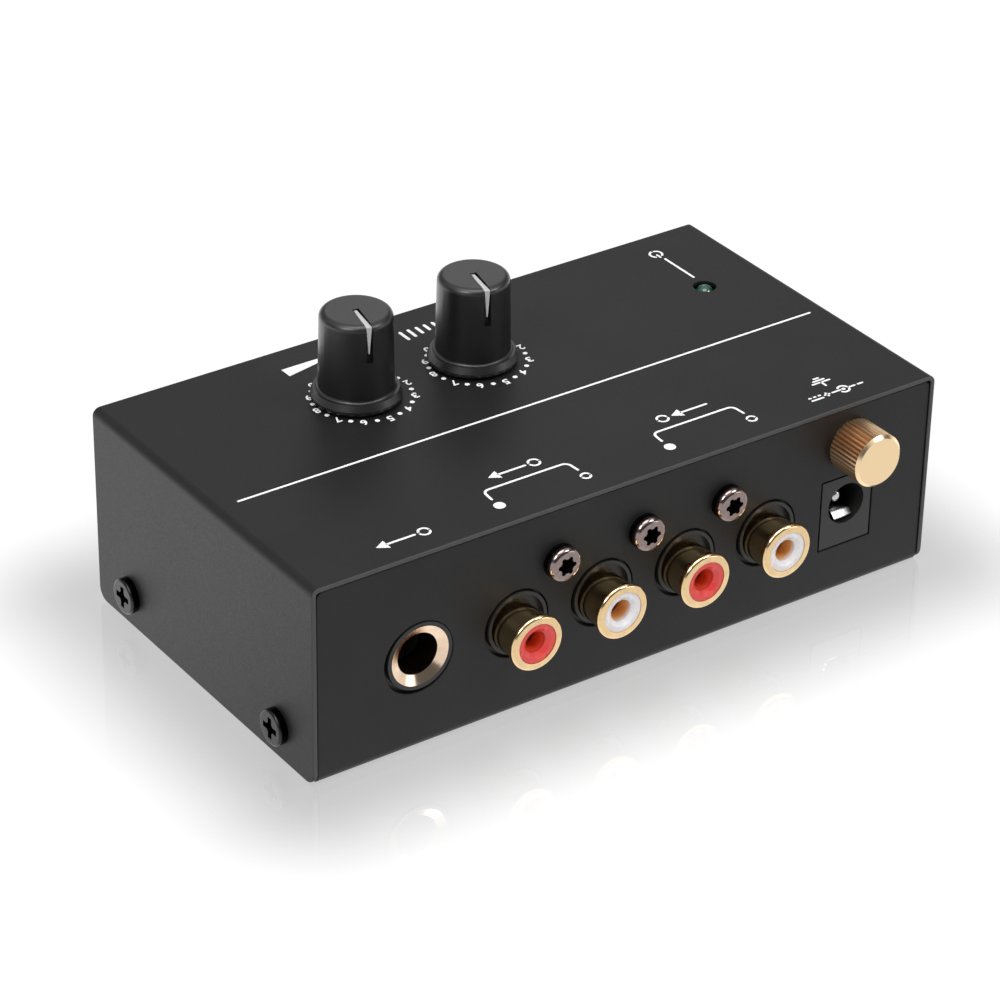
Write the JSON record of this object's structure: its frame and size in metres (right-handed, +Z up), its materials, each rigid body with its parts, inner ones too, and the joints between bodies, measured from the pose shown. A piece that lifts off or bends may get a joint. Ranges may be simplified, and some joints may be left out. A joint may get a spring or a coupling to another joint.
{
  "type": "phono preamplifier",
  "caption": "Small desktop phono preamplifier in a bent-sheet case: control knobs and a lamp on top, rear phono sockets, headphone jack, DC socket and ground thumb screw.",
  "frame": {"origin": "middle of the underside of the case, without the sockets that stand out", "axes": "+Z up, +X along the case, +Y out of the rear panel with the sockets; the user sits on the -Y side"},
  "size_m": [0.1076, 0.0634, 0.0448],
  "materials": {
    "enclosure_paint": "satin fine-textured paint",
    "black_screw_steel": "black oxide, satin",
    "green_board": "green solder mask",
    "nickel_brass": "nickel plate",
    "zinc_screw_steel": "zinc plate",
    "knob_plastic": "satin moulded",
    "pointer_white": "white paint",
    "control_metal": "turned",
    "pot_plastic": "moulded",
    "tinned_contact": "tin plate",
    "lamp_green": "diffused green epoxy",
    "black_plastic": "moulded",
    "gold_plate": "gold flash, polished",
    "insulator_red": "moulded",
    "insulator_white": "moulded",
    "star_screw_steel": "black zinc, glossy",
    "chip_plastic": "moulded epoxy",
    "capacitor_sleeve": "shrink sleeve",
    "film_red": "dipped",
    "resistor_blue": "lacquered"
  },
  "bodies": {
    "case": {"board_screws": "zinc_screw_steel", "board_standoffs": "nickel_brass", "chassis": "enclosure_paint", "circuit_board": "green_board", "cover_screws": "black_screw_steel", "diode": "chip_plastic", "electrolytic_capacitors": "capacitor_sleeve", "film_capacitors": "film_red", "ground_nut": "nickel_brass", "ground_strap": "tinned_contact", "input_left_contact": "gold_plate", "input_left_insulator": "insulator_white", "input_left_shell": "gold_plate", "input_right_contact": "gold_plate", "input_right_insulator": "insulator_red", "input_right_shell": "gold_plate", "lamp_leads": "tinned_contact", "lamp_spacer": "black_plastic", "level_bushing": "control_metal", "level_pot_body": "pot_plastic", "op_amps": "chip_plastic", "output_left_contact": "gold_plate", "output_left_insulator": "insulator_white", "output_left_shell": "gold_plate", "output_right_contact": "gold_plate", "output_right_insulator": "insulator_red", "output_right_shell": "gold_plate", "phone_jack_body": "black_plastic", "phone_jack_ferrule": "gold_plate", "phone_jack_springs": "tinned_contact", "pot_terminals": "tinned_contact", "power_lamp": "lamp_green", "power_socket_body": "black_plastic", "power_socket_pin": "tinned_contact", "power_socket_spring": "tinned_contact", "rca_housing": "black_plastic", "resistors": "resistor_blue", "star_screws": "star_screw_steel", "top_cover": "enclosure_paint", "voltage_regulator": "chip_plastic", "volume_bushing": "control_metal", "volume_pot_body": "pot_plastic"},
    "volume_control": {"volume_knob": "knob_plastic", "volume_pointer": "pointer_white", "volume_shaft": "control_metal"},
    "level_control": {"level_knob": "knob_plastic", "level_pointer": "pointer_white", "level_shaft": "control_metal"},
    "ground_washer": {"ground_washer": "gold_plate"},
    "ground_screw": {"ground_thumb_screw": "gold_plate"}
  },
  "joints": [
    {"name": "volume_turn", "type": "hinge", "parent": "case", "child": "volume_control", "pos_m": [0.02, -0.01105, 0.031], "axis": [0, 0, -1], "range_deg": [-162, 138]},
    {"name": "level_turn", "type": "hinge", "parent": "case", "child": "level_control", "pos_m": [0.00025, -0.01105, 0.031], "axis": [0, 0, -1], "range_deg": [-162, 138]},
    {"name": "ground_screw_travel", "type": "slide", "parent": "case", "child": "ground_washer", "axis": [0, 1, 0], "range_m": [0, 0.0035]},
    {"name": "ground_screw_turn", "type": "hinge", "parent": "ground_washer", "child": "ground_screw", "pos_m": [-0.0374, 0.0284, 0.02457], "axis": [0, 1, 0], "range_deg": [0, 1801]}
  ],
  "couplings": [
    {"joint": "ground_screw_turn", "follows": "ground_screw_travel", "rad_per_m": 8976}
  ]
}
